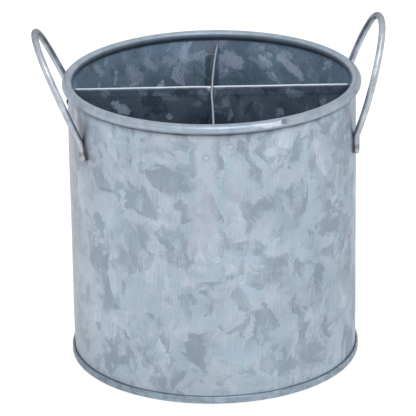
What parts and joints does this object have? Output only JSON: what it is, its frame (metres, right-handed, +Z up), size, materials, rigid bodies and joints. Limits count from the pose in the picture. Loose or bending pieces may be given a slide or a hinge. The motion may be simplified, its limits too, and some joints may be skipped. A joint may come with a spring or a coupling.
{
  "type": "cutlery caddy",
  "caption": "Round galvanised sheet-metal cutlery caddy with a wired rim, crossed dividers that part it into quarters, and upright wire handles.",
  "frame": {"origin": "middle of the base's underside, on the table, on the body's axis", "axes": "+Z up, +X along the cross divider to the right, front towards -Y"},
  "size_m": [0.1831, 0.1558, 0.1812],
  "materials": {
    "galvanised_wall": "galvanised, spangled, satin",
    "galvanised_base": "galvanised, spangled, satin",
    "galvanised_divider": "galvanised, spangled, satin",
    "handle_wire": "galvanised wire, satin",
    "rim_wire": "drawn wire, plain"
  },
  "bodies": {
    "root": {"body_wall": "galvanised_wall", "base_pan": "galvanised_base", "cross_divider": "galvanised_divider", "long_divider": "galvanised_divider", "left_handle": "handle_wire", "right_handle": "handle_wire", "rim_wire": "rim_wire"}
  },
  "joints": []
}
